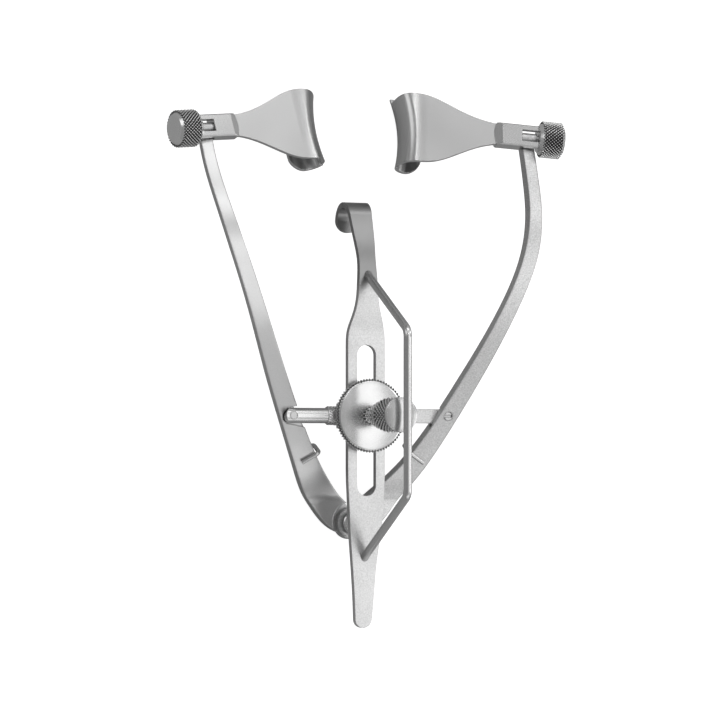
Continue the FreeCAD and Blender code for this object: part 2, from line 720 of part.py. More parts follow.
def bar_side():
    """Side view of the bar in one stroke: tail, flat middle, shoulder, strap, hook bend and lip."""
    front = bar_front()
    side = -TALL / 4
    y, z = HOOK_CENTRE
    turn = radians(HOOK_START)
    level = Vector(0, 1, 0)
    downhill = Vector(0, cos(turn), -sin(turn))
    flat = [Vector(side, station, front) for station in BAR_FLAT]
    tail = [Vector(side, station, front + rise) for station, rise in BAR_SIDE] + flat[:1]
    strap = flat[1:] + [Vector(side, station, front + rise) for station, rise in BAR_SHOULDER]
    strap.append(Vector(side, y + HOOK_R * sin(turn), z + HOOK_R * cos(turn)))
    edges = []
    outer = []
    inner = []
    for run, start, end in ((tail, tail[1] - tail[0], level), (strap, level, downhill)):
        front_curve = spline(run, start, end)
        back = []
        for point in run:
            tangent = front_curve.tangent(front_curve.parameter(point))[0]
            thick = HOOK_THICK if point is strap[-1] else BAR_THICK
            back.append(point + Vector(0, tangent.z, -tangent.y) * thick)
        edges += [front_curve.toShape(), spline(back, start, end).toShape()]
        outer += run
        inner += back
    edges += polyline([outer[len(tail) - 1], outer[len(tail)]])
    edges += polyline([inner[len(tail) - 1], inner[len(tail)]])
    inside_r = HOOK_R - HOOK_THICK
    half_turn = (radians(180) + turn) / 2
    ends = []
    for r, start in ((HOOK_R, outer[-1]), (inside_r, inner[-1])):
        middle = Vector(side, y + r * sin(half_turn), z + r * cos(half_turn))
        ends.append(Vector(side, y, z - r))
        edges.append(Part.Arc(start, middle, ends[-1]).toShape())
    lip = [Vector(side, HOOK_LIP_END, end.z) for end in ends]
    edges += polyline([ends[0], lip[0], lip[1], ends[1]])
    edges += polyline([outer[0], inner[0]])
    return face(edges).extrude(Vector(TALL / 2, 0, 0))


def hook_bar():
    profile = bar_side()
    half = HOOK_LIP_W / 2
    y, z = HOOK_CENTRE
    below = box((-TALL, y - HOOK_R, z - 2 * HOOK_R), (TALL, y + 2 * HOOK_R, z))
    spoon = box((HOOK_X - half, HOOK_LIP_END, -TALL / 4), (HOOK_X + half, y + 2 * HOOK_R, z))
    corners = [e for e in spoon.Edges if abs(e.tangentAt(0).z) > 0.9 and e.BoundBox.YMax < y]
    spoon = spoon.makeFillet(HOOK_LIP_CORNER, corners)
    bar = profile.cut(below).common(bar_plan()).fuse(profile.common(spoon))
    for foot, inside in bow_feet():
        run = foot - inside
        bar = bar.cut(cylinder(WIRE_R, inside - run, foot + run))
    return single(bar)


def bow_feet():
    """Each foot of the bow: the point under the bar where the wire ends, and the bend that it comes from."""
    mid = bar_front() - BAR_THICK / 2
    top = bar_front() + BOW_STAND
    feet = []
    for foot_y, bend_y, lift in ((BOW_FOOT_TOP, BOW_BEND_TOP, 0.75), (BOW_FOOT_LOW, BOW_BEND_LOW, -0.7)):
        feet.append((Vector(HOOK_X, foot_y, mid + lift), Vector(HOOK_X, bend_y, top)))
    return feet


def guard_bow():
    (foot_top, bend_top), (foot_low, bend_low) = bow_feet()
    return bent_wire([foot_top, bend_top, bend_low, foot_low], BOW_BEND_R, WIRE_R)


# Clamp

def clamp_axis(z):
    return Vector(HOOK_X, CROSS_Y, z)


def post_top():
    return bar_front() + POST_RISE


def wheel_back():
    return bar_front() + WHEEL_BACK


def clamp_post():
    bottom = SLIDE_Z + SLIDE_THICK / 2 + CHANNEL_FIT
    post = cylinder(POST_R, clamp_axis(bottom), clamp_axis(post_top()))
    return post.cut(cylinder(POST_BORE_R, clamp_axis(bottom), clamp_axis(post_top())))


def bar_washer():
    low = clamp_axis(bar_front() + FACE_GAP)
    high = low + Vector(0, 0, WASHER_THICK)
    return cylinder(WASHER_R, low, high).cut(cylinder(POST_R + RUNNING_FIT, low, high))


def lock_wheel():
    hub = bar_front() + 2 * FACE_GAP + WASHER_THICK
    back = wheel_back()
    front = back + WHEEL_RIM
    eye = KNOB_NECK_R + WHEEL_EYE_FIT
    bore = POST_R + RUNNING_FIT
    ceiling = post_top() + FACE_GAP
    profile = [
        Vector(bore, 0, hub),
        Vector(WHEEL_HUB_R, 0, hub),
        Vector(WHEEL_HUB_R, 0, back),
        Vector(WHEEL_R - WHEEL_EDGE, 0, back),
        Vector(WHEEL_R, 0, back + WHEEL_EDGE),
        Vector(WHEEL_R, 0, front - WHEEL_EDGE),
        Vector(WHEEL_R - WHEEL_EDGE, 0, front),
        Vector(eye, 0, front + WHEEL_CROWN),
        Vector(eye, 0, ceiling),
        Vector(bore, 0, ceiling),
    ]
    wheel = revolve_profile(profile, Vector(0, 0, 0), Vector(0, 0, 1))
    wheel.translate(clamp_axis(0))
    return wheel


def knob_start():
    return wheel_back() + WHEEL_RIM


def clamp_knob():
    base = post_top() + 2 * FACE_GAP
    start = knob_start() + KNOB_NECK_IN
    flare_end = start + KNOB_FLARE
    end = flare_end + KNOB_BARREL
    profile = [
        Vector(0, 0, base),
        Vector(KNOB_NECK_R, 0, base),
        Vector(KNOB_NECK_R, 0, start),
        Vector(KNOB_R, 0, flare_end),
        Vector(KNOB_R, 0, end - KNOB_EDGE),
        Vector(KNOB_R - KNOB_EDGE, 0, end),
        Vector(0, 0, end),
    ]
    knob = revolve_profile(profile, Vector(0, 0, 0), Vector(0, 0, 1))
    knob.translate(clamp_axis(0))
    return knob.cut(cylinder(CLAMP_SCREW_R, clamp_axis(0), clamp_axis(base + CLAMP_SCREW_IN_KNOB)))


def clamp_screw():
    tip = SLIDE_Z + SLIDE_THICK / 2 + FACE_GAP
    top = post_top() + 2 * FACE_GAP + CLAMP_SCREW_IN_KNOB
    return cylinder(CLAMP_SCREW_R, clamp_axis(tip), clamp_axis(top))


# Suture clips

def suture_clip():
    """Right clip: a leg on the front face, a turn round the inner edge and a short leg behind."""
    edge_x = arm_edge(CLIP_Y, -1)
    slope = atan2(arm_front(CLIP_Y + 1) - arm_front(CLIP_Y - 1), 2)
    turn = radians(CLIP_TURN)
    normal = Vector(0, -sin(slope), cos(slope))
    out = Vector(cos(turn), -sin(turn) * cos(slope), -sin(turn) * sin(slope))
    edge = Vector(edge_x, CLIP_Y, arm_front(CLIP_Y)) - normal * (ARM_THICK / 2)
    half = ARM_THICK / 2 + CLIP_WIRE_R
    outline = [
        edge + normal * half + out * CLIP_FRONT_LEG,
        edge + normal * half - out * CLIP_STAND,
        edge - normal * half - out * CLIP_STAND,
        edge - normal * half + out * CLIP_BACK_LEG,
    ]
    return bent_wire(outline, CLIP_BEND_R, CLIP_WIRE_R)


def build():
    blade_right = placed(blade())
    rest = blade_right.optimalBoundingBox().ZMin
    arm_left = left_arm()
    arm_right = right_arm()
    clip = suture_clip()
    pieces = {
        "left_arm": arm_left,
        "right_arm": arm_right,
        "pivot_screw": pivot_screw(rest),
        "pivot_nut": pivot_nut(rest),
        "crossbar_rod": crossbar_rod(),
        "rod_collar": rod_collar(),
        "rod_pin": rod_pin(),
        "slide_bar": slide_bar(),
        "slide_bar_screw": slide_bar_screw(),
        "crossbar_housing": crossbar_housing(),
        "clamp_post": clamp_post(),
        "bar_washer": bar_washer(),
        "lock_wheel": lock_wheel(),
        "clamp_knob": clamp_knob(),
        "clamp_screw": clamp_screw(),
        "hook_bar": hook_bar(),
        "guard_bow": guard_bow(),
        "right_suture_clip": clip.cut(arm_right),
        "left_suture_clip": mirrored(clip).cut(arm_left),
    }
    paired = {
        "blade": blade_right,
        "blade_block": placed(blade_block()),
        "blade_screw": placed(blade_screw()),
        "blade_knob": placed(blade_knob()),
    }
    for name, shape in paired.items():
        pieces["right_" + name] = shape
        pieces["left_" + name] = mirrored(shape)
    for shape in pieces.values():
        shape.translate(Vector(0, 0, -rest))
    return pieces


os.makedirs("parts", exist_ok=True)
for name, shape in build().items():
    shape.exportStep(os.path.join("parts", name + ".step"))
    print(name, round(shape.Volume, 1), shape.BoundBox)
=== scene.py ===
import json
from math import cos, pi, sin

import bmesh
import bpy
from mathutils import Matrix, Vector


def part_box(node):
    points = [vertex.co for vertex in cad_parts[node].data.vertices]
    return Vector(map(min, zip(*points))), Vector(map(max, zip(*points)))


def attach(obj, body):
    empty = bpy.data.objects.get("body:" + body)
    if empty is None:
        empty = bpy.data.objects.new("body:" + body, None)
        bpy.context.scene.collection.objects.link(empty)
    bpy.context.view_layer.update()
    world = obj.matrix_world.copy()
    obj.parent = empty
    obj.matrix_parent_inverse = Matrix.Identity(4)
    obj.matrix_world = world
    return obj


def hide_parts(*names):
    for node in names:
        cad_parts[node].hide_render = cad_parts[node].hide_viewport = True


# An adjustable eye speculum lying face up, all of stainless steel. Most pieces are the CAD's own
# and get a steel of their own finish. The knurled ones are turned here from a profile and carry
# real diamonds. Everything is in metres, +Y from the pivot to the blades, +Z from the table up.

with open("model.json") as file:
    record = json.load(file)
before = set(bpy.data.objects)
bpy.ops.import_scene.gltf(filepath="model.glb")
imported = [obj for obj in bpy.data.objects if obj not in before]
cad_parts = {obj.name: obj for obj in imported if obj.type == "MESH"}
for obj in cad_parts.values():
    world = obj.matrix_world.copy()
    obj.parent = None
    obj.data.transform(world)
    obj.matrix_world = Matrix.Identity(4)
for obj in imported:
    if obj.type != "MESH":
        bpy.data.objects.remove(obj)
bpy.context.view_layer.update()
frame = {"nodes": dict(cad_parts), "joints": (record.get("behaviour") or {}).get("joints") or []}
NODES = frame["nodes"]
MM = 0.001

# Knurls: diamonds round the piece, how far they stand out, and their length over their width
SIDE_KNURL_COUNT = 34
SIDE_KNURL_DEPTH = 0.24 * MM
CLAMP_KNURL_COUNT = 30
CLAMP_KNURL_DEPTH = 0.26 * MM
CLAMP_KNURL_STRETCH = 2.1
RIM_KNURL_COUNT = 72
RIM_KNURL_DEPTH = 0.24 * MM
RIM_KNURL_STRETCH = 1.5
COLLAR_KNURL_COUNT = 18
COLLAR_KNURL_DEPTH = 0.17 * MM
DIAMOND_STRETCH = 1.15

# One diamond: its top over its foot, and how far its foot is sunk into the piece
DIAMOND_TOP = 0.22
DIAMOND_SINK = 0.05 * MM

# Lathe work: steps round the axis, in a rounded corner and across a domed end, the rounding of
# a plain edge, and how near a point counts as on the axis or on the outer surface
LATHE_STEPS = 144
CORNER_STEPS = 5
FACE_STEPS = 24
EDGE_BREAK = 0.1 * MM
ON_AXIS = 1e-7
ON_SKIN = 1e-6

# Blade knobs, from the block outwards: stud, neck, knurled barrel, rounded end with a dimple
STUD_R = 0.4 * MM
SIDE_KNOB_NECK_R = 2.05 * MM
SIDE_KNOB_NECK = 0.65 * MM
SIDE_KNOB_ROUND = 0.5 * MM
SIDE_KNOB_EDGE = 0.2 * MM
SIDE_KNOB_DIMPLE_R = 1.7 * MM
SIDE_KNOB_DIMPLE = 0.35 * MM

# Lock wheel: a hub behind, a knurled rim, and a crowned face round the eye of the clamp knob
WHEEL_BORE_R = 1.48 * MM
WHEEL_HUB_R = 2.6 * MM
WHEEL_EYE_R = 1.25 * MM
WHEEL_THICK = 0.95 * MM
WHEEL_CROWN = 0.45 * MM
WHEEL_EDGE = 0.22 * MM

# Clamp knob: a neck that flares into a barrel, with a plain rim under its domed end.
# The flare is knurled in bands, each with its own number of diamonds.
KNOB_NECK_R = 1.15 * MM
KNOB_FLARE = 7.2 * MM
KNOB_FLARE_COUNTS = (16, 20, 25)
KNOB_BARREL = 5.1 * MM
KNOB_RIM = 0.35 * MM
KNOB_CROWN = 0.4 * MM
KNOB_FOOT_ROUND = 0.3 * MM
KNOB_SHOULDER_ROUND = 0.5 * MM
KNOB_RIM_ROUND = 0.05 * MM

# Rod collar: a plain ring at its start, then knurled almost to its end
COLLAR_BORE_R = 1.18 * MM
COLLAR_RING = 0.3 * MM
COLLAR_END = 0.1 * MM
COLLAR_START_ROUND = 0.12 * MM
COLLAR_END_ROUND = 0.08 * MM

# Steel that has been handled: waves and clouds per metre, and the samples that round its edges
WAVES_SCALE = 110.0
CLOUDS_SCALE = 160.0
BEVEL_SAMPLES = 4

# Knurled steel: painted shade in its grooves, which keep this share of the crests' tone, between
# these heights
GROOVE_PAINTED_SHADE = 0.06
GROOVE_HEIGHT = 0.2
CREST_HEIGHT = 0.9

# Blades: where their sweep into the fold starts before the end, and its bend per metre
SWEEP_START = 5.5 * MM
SWEEP_BEND = 55.0
BLADE_WAVES = 0.12 * MM
BLADE_EDGE = 0.12 * MM

# The hook bar is blasted up to the upper foot of its guard bow and smooth beyond, where painted
# shade darkens its colour. UNMASKED lies past the end of every piece.
HOOK_FOOT = 36.3 * MM
BLAST_FADE = 1.0 * MM
SMOOTH_PAINTED_SHADE = 0.5
UNMASKED = 1.0

# Studio: a pale floor that looks white to the camera, and a world that is brighter towards a
# window. WINDOW_FULL is the cosine of the angle to it at which the world is at its brightest.
FLOOR_HALF = 1.5
FLOOR_DROP = 0.02 * MM
FLOOR_TONE = 0.42
FLOOR_GLOW = 0.9
WINDOW_WAY = (0.924, 0, 0.383)
WINDOW_FULL = 0.6
WORLD_DIM, WORLD_BRIGHT = 0.28, 0.66

# Softboxes: place, the point each faces, its two sizes, watts
SOFTBOXES = {
    "top strip": ((0.32, 0.03, 0.85), (0, 0.03, 0), (1.0, 0.34), 1.0),
    "right wall": ((0.9, -0.15, 0.4), (0, 0.03, 0), (0.5, 0.5), 1.2),
    "right strip": ((0.82, 0.42, 0.38), (0, 0.05, 0), (0.12, 0.5), 0.65),
    "left wall": ((-0.76, 0.45, 0.4), (0, 0.05, 0), (0.45, 0.5), 0.7),
    "high strip": ((-0.19, 0.5, 0.75), (0, 0.06, 0), (0.06, 0.5), 0.4),
    "far wall": ((0.15, 0.88, 0.6), (0, 0.03, 0), (1.0, 0.3), 1.4),
    "near wall": ((0.1, -0.8, 0.45), (0, 0.03, 0), (0.9, 0.3), 0.6),
}

# Camera: lens and sensor in millimetres, the ways right and up in the picture, the point in its
# middle and how far off that is. It looks from the left, turned by 22.5 degrees about Y.
CAMERA_LENS = 214.5
CAMERA_SENSOR = 36
CAMERA_RIGHT = Vector((0.92388, 0, 0.38268))
CAMERA_UP = Vector((-0.01002, 0.99966, 0.02418))
CAMERA_AIM = Vector((0.745, 25.07, 3.774)) * MM
CAMERA_AWAY = 0.66


# Measures of the CAD

def joint_line(body):
    """The centre and the direction of the joint that carries a body."""
    joint = next(j for j in frame["joints"] if j["child"] == body)
    return Vector(joint["pos_m"]), Vector(joint["axis"]).normalized()


def span(name, centre, axis):
    """How far a node reaches along an axis line, from its centre point."""
    reach = [(v.co - centre).dot(axis) for v in NODES[name].data.vertices]
    return min(reach), max(reach)


def radius_of(name, centre, axis):
    return max(((v.co - centre).cross(axis)).length for v in NODES[name].data.vertices)


def upright(low, high):
    """The vertical axis and the radius of a round piece, from its box."""
    return Vector(((low.x + high.x) / 2, (low.y + high.y) / 2, 0)), (high.x - low.x) / 2


# Nodes

def feed(tree, socket, value):
    """Sets an input to a value, or links it if the value is a socket."""
    if isinstance(value, bpy.types.NodeSocket):
        tree.links.new(value, socket)
    else:
        socket.default_value = value


def node(tree, kind, inputs=None, **settings):
    """A node of that kind with its settings, and what its inputs get, by name or number."""
    made = tree.nodes.new(kind)
    for name, value in settings.items():
        setattr(made, name, value)
    for name, value in (inputs or {}).items():
        feed(tree, made.inputs[name], value)
    return made


def calc(tree, operation, *values):
    """What comes out of a calculation with numbers, each a value or a socket."""
    return node(tree, "ShaderNodeMath", dict(enumerate(values)), operation=operation).outputs[0]


def vector_calc(tree, operation, *values):
    """The same for vectors. A length or a dot product comes out as a number."""
    made = node(tree, "ShaderNodeVectorMath", dict(enumerate(values)), operation=operation)
    return made.outputs["Value" if operation in ("LENGTH", "DOT_PRODUCT") else "Vector"]


def scaled(tree, vector, factor):
    made = node(
        tree, "ShaderNodeVectorMath", {"Vector": vector, "Scale": factor}, operation="SCALE",
    )
    return made.outputs["Vector"]


def group(name, kind, inputs, outputs):
    """A node group with those sockets, each a label and a type: its tree and its two ends."""
    tree = bpy.data.node_groups.new(name, kind)
    for way, sockets in (("INPUT", inputs), ("OUTPUT", outputs)):
        for label, holds in sockets.items():
            tree.interface.new_socket(label, in_out=way, socket_type=f"NodeSocket{holds}")
    return tree, node(tree, "NodeGroupInput").outputs, node(tree, "NodeGroupOutput").inputs


# Steel finishes

def handled_group():
    """Long-used steel: broad waves, and a cloudy tone, a little duller where it is darker."""
    tree, given, out = group(
        "Handled steel", "ShaderNodeTree",
        {"Vector": "Vector", "Tone": "Color", "Roughness": "Float", "Variation": "Float"},
        {"Color": "Color", "Roughness": "Float", "Waves": "Float"},
    )
    waves = node(
        tree, "ShaderNodeTexNoise",
        {"Vector": given["Vector"], "Scale": WAVES_SCALE, "Detail": 0.0},
    )
    clouds = node(
        tree, "ShaderNodeTexNoise",
        {"Vector": given["Vector"], "Scale": CLOUDS_SCALE, "Detail": 3.0},
    )
    around = calc(tree, "SUBTRACT", clouds.outputs["Fac"], 0.5)
    amount = calc(tree, "MULTIPLY", around, given["Variation"])
    feed(tree, out["Waves"], waves.outputs["Fac"])
    feed(tree, out["Color"], scaled(tree, given["Tone"], calc(tree, "ADD", amount, 1.0)))
    feed(tree, out["Roughness"], calc(tree, "SUBTRACT", given["Roughness"], amount))
    return tree


def blasted_group():
    """The pits of bead blasting: their height, and the steel's colour with painted shade, darker in
    the pits and lighter between them. Beyond Stop along Y the piece was masked off, so that it is
    smooth there, and painted shade makes it darker."""
    tree, given, out = group(
        "Bead blasting", "ShaderNodeTree",
        {"Vector": "Vector", "Tone": "Color", "Grain": "Float", "Shade": "Float", "Stop": "Float"},
        {"Height": "Float", "Color": "Color"},
    )
    scale = calc(tree, "DIVIDE", 1.0, given["Grain"])
    pits = node(
        tree, "ShaderNodeTexNoise", {"Vector": given["Vector"], "Scale": scale, "Detail": 2.0},
    )
    depth = calc(tree, "SUBTRACT", pits.outputs["Fac"], 0.5)
    y = node(tree, "ShaderNodeSeparateXYZ", {"Vector": given["Vector"]}).outputs["Y"]
    past = calc(tree, "SUBTRACT", y, given["Stop"])
    blasted = node(
        tree, "ShaderNodeMapRange",
        {
            "Value": past,
            "From Min": -BLAST_FADE,
            "From Max": BLAST_FADE,
            "To Min": 1.0,
            "To Max": 0.0,
        },
    ).outputs[0]
    height = calc(tree, "MULTIPLY", depth, blasted)
    # Painted shade: the masked-off smooth part is darkened
    masked = calc(tree, "SUBTRACT", blasted, 1.0)
    masked_painted_shade = calc(tree, "MULTIPLY_ADD", masked, SMOOTH_PAINTED_SHADE, 1.0)
    # Painted shade that follows the pits: darker in them and lighter between them, by Shade
    shade = calc(tree, "MULTIPLY_ADD", height, given["Shade"], masked_painted_shade)
    feed(tree, out["Height"], height)
    feed(tree, out["Color"], scaled(tree, given["Tone"], shade))
    return tree


def turned_group():
    """Rings left by the lathe, over the distance from the axis plus the place along it."""
    tree, given, out = group(
        "Lathe marks", "ShaderNodeTree",
        {"Vector": "Vector", "Centre": "Vector", "Axis": "Vector", "Pitch": "Float"},
        {"Height": "Float"},
    )
    away = vector_calc(tree, "SUBTRACT", given["Vector"], given["Centre"])
    across = vector_calc(tree, "CROSS_PRODUCT", away, given["Axis"])
    radius = vector_calc(tree, "LENGTH", across)
    travel = calc(tree, "ADD", radius, vector_calc(tree, "DOT_PRODUCT", away, given["Axis"]))
    turns = calc(tree, "DIVIDE", travel, given["Pitch"])
    marks = node(
        tree, "ShaderNodeTexNoise", {"W": turns, "Scale": 1.0, "Detail": 2.0},
        noise_dimensions="1D",
    )
    feed(tree, out["Height"], marks.outputs["Fac"])
    return tree


HANDLED = handled_group()
BLASTED = blasted_group()
TURNED = turned_group()


def steel(name, tone, roughness, variation):
    """A grey metal that has been handled. For more detail it comes with its tree, the inputs of
    its shader, the place of a point in the object and the outputs of its handled look."""
    material = bpy.data.materials.new(name)
    material.use_nodes = True
    tree = material.node_tree
    shader = tree.nodes["Principled BSDF"].inputs
    place = node(tree, "ShaderNodeTexCoord").outputs["Object"]
    look = node(
        tree, "ShaderNodeGroup",
        {
            "Vector": place,
            "Tone": (tone, tone, tone, 1),
            "Roughness": roughness,
            "Variation": variation,
        },
        node_tree=HANDLED,
    ).outputs
    feed(tree, shader["Metallic"], 1.0)
    feed(tree, shader["Base Color"], look["Color"])
    feed(tree, shader["Roughness"], look["Roughness"])
    return material, tree, shader, place, look


def bump(tree, shader, look, height, depth, waves, edge, form=None):
    """Fine marks over hand-polished waves, over a broad form if there is one, on edges rounded
    to the given radius."""
    under = node(tree, "ShaderNodeBevel", {"Radius": edge}, samples=BEVEL_SAMPLES).outputs[0]
    if form is not None:
        feed(tree, form.inputs["Normal"], under)
        under = form.outputs[0]
    broad = node(
        tree, "ShaderNodeBump", {"Distance": waves, "Height": look["Waves"], "Normal": under},
    )
    fine = node(
        tree, "ShaderNodeBump",
        {"Distance": depth, "Height": height, "Normal": broad.outputs[0]},
    )
    feed(tree, shader["Normal"], fine.outputs[0])


def blasted_steel(
    name, tone, roughness, grain, depth, waves, shade=0.0, stop=UNMASKED, edge=0.12 * MM,
):
    """Steel with pits of that grain and depth, up to Stop along Y. A polished steel has the
    faintest of them."""
    material, tree, shader, place, look = steel(name, tone, roughness, variation=0.12)
    pits = node(
        tree, "ShaderNodeGroup",
        {"Vector": place, "Tone": look["Color"], "Grain": grain, "Shade": shade, "Stop": stop},
        node_tree=BLASTED,
    ).outputs
    # The colour carries the painted shade of the pits and of the masked-off part
    feed(tree, shader["Base Color"], pits["Color"])
    bump(tree, shader, look, pits["Height"], depth, waves, edge)
    return material


def turned_steel(name, tone, roughness, centre, axis, pitch, depth, edge=0.08 * MM):
    """Steel with the marks of a lathe round that axis line."""
    material, tree, shader, place, look = steel(name, tone, roughness, variation=0.08)
    marks = node(
        tree, "ShaderNodeGroup",
        {"Vector": place, "Centre": centre, "Axis": axis, "Pitch": pitch},
        node_tree=TURNED,
    ).outputs
    bump(tree, shader, look, marks["Height"], depth, waves=0.0, edge=edge)
    return material


def knurled_steel(name, tone, roughness):
    """Polished crests over grooves darkened with painted shade, from the height kept on the mesh.
    """
    material, tree, shader, _, look = steel(name, tone, roughness, variation=0.1)
    height = node(tree, "ShaderNodeAttribute", attribute_name="height").outputs["Fac"]
    shade = node(
        tree, "ShaderNodeMapRange",
        {
            "Value": height,
            "From Min": GROOVE_HEIGHT,
            "From Max": CREST_HEIGHT,
            # Painted shade: the grooves keep only this share of the crests' tone
            "To Min": GROOVE_PAINTED_SHADE,
            "To Max": 1.0,
        },
    ).outputs[0]
    feed(tree, shader["Base Color"], scaled(tree, look["Color"], shade))
    return material


def blade_steel(side):
    """Mirror-polished steel whose shine follows the sweep of the blade into its fold."""
    name = f"{side}_blade"
    centre, inward = joint_line(f"{side}_blade_knob")
    if inward.x * centre.x > 0:
        inward = -inward
    tip = span(name, Vector((0, 0, 0)), inward)[1]
    material, tree, shader, place, look = steel(
        f"polished steel {name}", tone=0.6, roughness=0.26, variation=0.06,
    )
    reach = vector_calc(tree, "DOT_PRODUCT", place, inward)
    beyond = calc(tree, "MAXIMUM", calc(tree, "SUBTRACT", reach, tip - SWEEP_START), 0.0)
    sweep = calc(tree, "MULTIPLY", calc(tree, "POWER", beyond, 2.0), -SWEEP_BEND)
    curved = node(tree, "ShaderNodeBump", {"Distance": 1.0, "Height": sweep})
    bump(tree, shader, look, look["Waves"], 0.0, BLADE_WAVES, BLADE_EDGE, form=curved)
    return material


SATIN = blasted_steel(
    "satin steel", tone=0.58, roughness=0.3,
    grain=0.12 * MM, depth=0.006 * MM, waves=0.06 * MM, shade=0.25, edge=0.35 * MM,
)
BLAST = blasted_steel(
    "blasted steel", tone=0.58, roughness=0.34,
    grain=0.2 * MM, depth=0.03 * MM, waves=0.06 * MM, shade=0.9, edge=0.35 * MM,
)
BAR_BLAST = blasted_steel(
    "blasted steel bar", tone=0.58, roughness=0.32,
    grain=0.2 * MM, depth=0.02 * MM, waves=0.06 * MM, shade=0.6, stop=HOOK_FOOT,
)
POLISH = blasted_steel(
    "polished steel", tone=0.62, roughness=0.22,
    grain=0.1 * MM, depth=0.0003 * MM, waves=0.15 * MM,
)
BRIGHT = blasted_steel(
    "bright steel", tone=0.62, roughness=0.24,
    grain=0.1 * MM, depth=0.002 * MM, waves=0.1 * MM, shade=0.1,
)
# A darker copy of the bright steel for the rod pin and the slide screw: painted shade that tones
# down the top strip's glare on their flat heads
SHADED_SCREW_STEEL = blasted_steel(
    "shaded screw steel", tone=0.4, roughness=0.22,
    grain=0.1 * MM, depth=0.002 * MM, waves=0.1 * MM, shade=0.1, edge=0.25 * MM,
)
LEFT_BLADE = blade_steel("left")
RIGHT_BLADE = blade_steel("right")
KNURLED = knurled_steel("knurled steel", tone=0.92, roughness=0.26)

FINISHES = {
    LEFT_BLADE: ["left_blade"],
    RIGHT_BLADE: ["right_blade"],
    SATIN: ["left_arm", "crossbar_housing"],
    BLAST: ["right_arm", "slide_bar"],
    BAR_BLAST: ["hook_bar"],
    BRIGHT: ["crossbar_rod", "pivot_screw", "pivot_nut", "bar_washer"],
    SHADED_SCREW_STEEL: ["rod_pin", "slide_bar_screw"],
    POLISH: [
        "left_blade_block", "right_blade_block", "left_blade_screw", "right_blade_screw",
        "guard_bow", "left_suture_clip", "right_suture_clip", "clamp_post", "clamp_screw",
        "left_blade_knob", "right_blade_knob", "lock_wheel", "clamp_knob", "rod_collar",
    ],
}
for finish, names in FINISHES.items():
    for name in names:
        slots = NODES[name].data.materials
        slots.clear()
        slots.append(finish)


# Knurling

